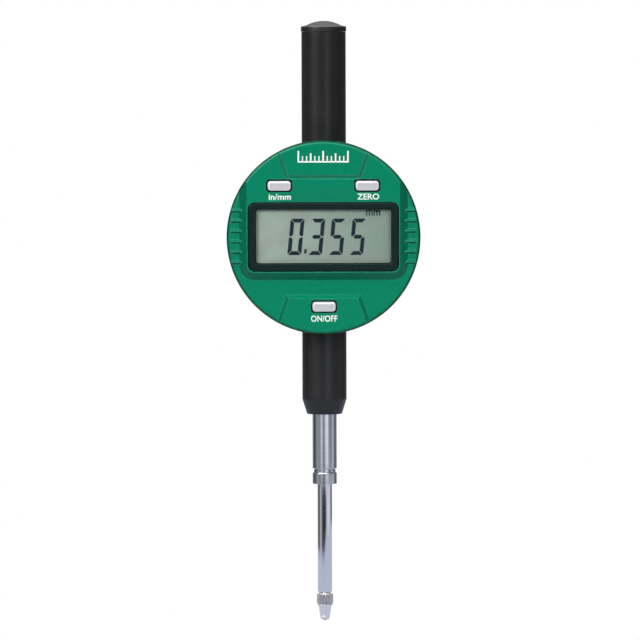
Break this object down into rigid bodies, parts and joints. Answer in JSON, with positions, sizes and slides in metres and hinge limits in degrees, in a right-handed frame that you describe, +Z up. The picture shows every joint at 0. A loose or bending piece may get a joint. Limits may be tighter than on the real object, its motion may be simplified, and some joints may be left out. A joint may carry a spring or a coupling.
{
  "type": "digital dial indicator",
  "caption": "Round digital dial indicator with a display head that turns, push buttons, a black top tube and sleeve, a steel clamping stem and a sprung spindle with a ball contact point.",
  "frame": {"origin": "on the spindle axis, at the middle of the bare 8 mm stem where a holder clamps it", "axes": "+Z up along the spindle, away from the contact point; -Y is where the display faces; +Y is where the fixing lug points; +X is to the right of a reader"},
  "size_m": [0.064, 0.0434, 0.1995],
  "materials": {
    "green_plastic": "satin moulded green",
    "bezel_plastic": "satin black frame",
    "clear_window": "clear acrylic",
    "lcd_glass": "reflective grey-green display",
    "key_plastic": "light grey keys",
    "case_paint": "black painted casting",
    "black_tube": "black anodised tube",
    "bright_steel": "ground steel",
    "hard_chrome": "polished hard chrome",
    "nickel": "nickel plate",
    "carbide": "polished carbide",
    "brass": "machined brass",
    "black_rubber": "matt black rubber",
    "grey_elastomer": "grey contact elastomer",
    "holder_plastic": "natural moulded plastic",
    "circuit_board": "green solder mask",
    "chip_epoxy": "black epoxy",
    "ribbon_film": "amber polyimide film"
  },
  "bodies": {
    "body": {"rear_case": "case_paint", "lug_back": "case_paint", "lug_back_screw_1": "bright_steel", "lug_back_screw_2": "bright_steel", "lug_back_screw_3": "bright_steel", "lug_back_screw_4": "bright_steel", "battery": "nickel", "battery_holder": "holder_plastic", "battery_holder_screw_1": "bright_steel", "battery_holder_screw_2": "bright_steel", "battery_contact_negative": "nickel", "battery_contact_positive": "nickel", "top_tube": "black_tube", "top_cap": "black_tube", "upper_bushing": "brass", "lower_sleeve": "black_tube", "stem": "bright_steel", "stem_nut": "bright_steel", "lower_bushing": "brass", "stem_collar": "bright_steel", "dust_wiper": "black_rubber", "lower_stop_ring": "black_rubber", "guide_rod": "bright_steel", "sensor_board": "circuit_board", "sensor_chip": "chip_epoxy", "sensor_board_screw_1": "bright_steel", "sensor_board_screw_2": "bright_steel", "friction_ring": "black_rubber", "flex_cable": "ribbon_film", "spindle_spring": "bright_steel"},
    "spindle": {"spindle": "hard_chrome", "contact_point": "bright_steel", "contact_ball": "carbide", "carriage": "holder_plastic", "carriage_screw": "bright_steel", "scale_plate": "circuit_board", "spring_seat": "bright_steel"},
    "dial_head": {"front_cover": "green_plastic", "display_bezel": "bezel_plastic", "display_window": "clear_window", "lcd_panel": "lcd_glass", "zebra_strip_top": "grey_elastomer", "zebra_strip_bottom": "grey_elastomer", "main_board": "circuit_board", "main_board_chip": "chip_epoxy", "main_board_screw_1": "bright_steel", "main_board_screw_2": "bright_steel", "switch_dome_1": "bright_steel", "switch_dome_2": "bright_steel", "switch_dome_3": "bright_steel", "retainer_ring": "bright_steel", "retainer_screw_1": "bright_steel", "retainer_screw_2": "bright_steel", "retainer_screw_3": "bright_steel"},
    "battery_cover": {"battery_cover": "case_paint", "battery_cover_seal": "black_rubber"},
    "unit_button": {"unit_button": "key_plastic"},
    "zero_button": {"zero_button": "key_plastic"},
    "power_button": {"power_button": "key_plastic"}
  },
  "joints": [
    {"name": "spindle_slide", "type": "slide", "parent": "body", "child": "spindle", "axis": [0, 0, 1], "range_m": [0, 0.0254], "stiffness_N_per_m": 20, "springref_m": -0.04, "deforming": ["spindle_spring"]},
    {"name": "head_turn", "type": "hinge", "parent": "body", "child": "dial_head", "pos_m": [0, -0.012, 0.068], "axis": [0, -1, 0], "range_deg": [-135, 135], "deforming": ["flex_cable"]},
    {"name": "battery_cover_turn", "type": "hinge", "parent": "body", "child": "battery_cover", "pos_m": [0.0155, 0.0105, 0.068], "axis": [0, 1, 0], "range_deg": [0, 90]},
    {"name": "unit_press", "type": "slide", "parent": "dial_head", "child": "unit_button", "axis": [0, 1, 0], "range_m": [0, 0.0007], "stiffness_N_per_m": 400, "springref_m": -0.0008},
    {"name": "zero_press", "type": "slide", "parent": "dial_head", "child": "zero_button", "axis": [0, 1, 0], "range_m": [0, 0.0007], "stiffness_N_per_m": 400, "springref_m": -0.0008},
    {"name": "power_press", "type": "slide", "parent": "dial_head", "child": "power_button", "axis": [0, 1, 0], "range_m": [0, 0.0007], "stiffness_N_per_m": 400, "springref_m": -0.0008}
  ]
}
